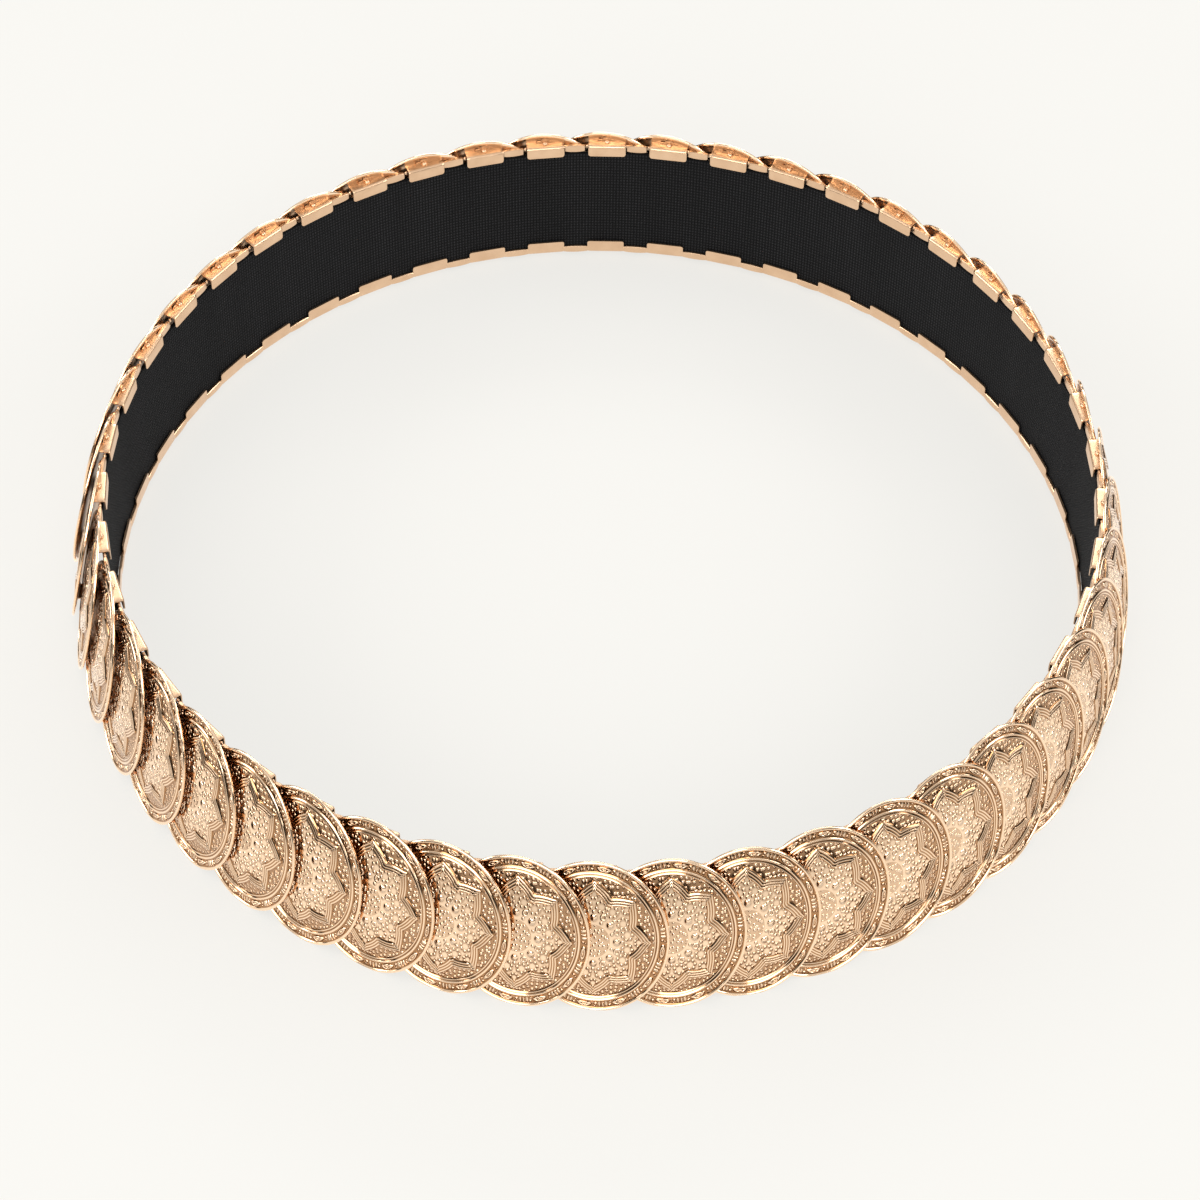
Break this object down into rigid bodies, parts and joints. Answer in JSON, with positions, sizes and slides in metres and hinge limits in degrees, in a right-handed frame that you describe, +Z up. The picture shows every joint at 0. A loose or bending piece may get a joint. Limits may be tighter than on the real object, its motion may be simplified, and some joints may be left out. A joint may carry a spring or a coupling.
{
  "type": "coin belt",
  "caption": "Closed stretch belt: overlapping embossed oval coins in rose gold, each clipped over both edges of a wide black woven elastic.",
  "frame": {"origin": "middle of the loop, on the surface that the coins' lower edges stand on", "axes": "+Z up along the wearer's body, -Y the front, +X the right side of the picture"},
  "size_m": [0.2578, 0.2574, 0.0412],
  "materials": {
    "coins": "polished rose-gold plating with a raised ornament",
    "elastic": "matt woven elastic"
  },
  "bodies": {
    "root": {"elastic_band": "elastic", "coin_01": "coins", "coin_02": "coins", "coin_03": "coins", "coin_04": "coins", "coin_05": "coins", "coin_06": "coins", "coin_07": "coins", "coin_08": "coins", "coin_09": "coins", "coin_10": "coins", "coin_11": "coins", "coin_12": "coins", "coin_13": "coins", "coin_14": "coins", "coin_15": "coins", "coin_16": "coins", "coin_17": "coins", "coin_18": "coins", "coin_19": "coins", "coin_20": "coins", "coin_21": "coins", "coin_22": "coins", "coin_23": "coins", "coin_24": "coins", "coin_25": "coins", "coin_26": "coins", "coin_27": "coins", "coin_28": "coins", "coin_29": "coins", "coin_30": "coins", "coin_31": "coins", "coin_32": "coins", "coin_33": "coins", "coin_34": "coins", "coin_35": "coins", "coin_36": "coins", "coin_37": "coins", "coin_38": "coins", "coin_39": "coins", "coin_40": "coins", "coin_41": "coins", "coin_42": "coins", "coin_43": "coins", "coin_44": "coins", "coin_45": "coins", "coin_46": "coins"}
  },
  "joints": []
}
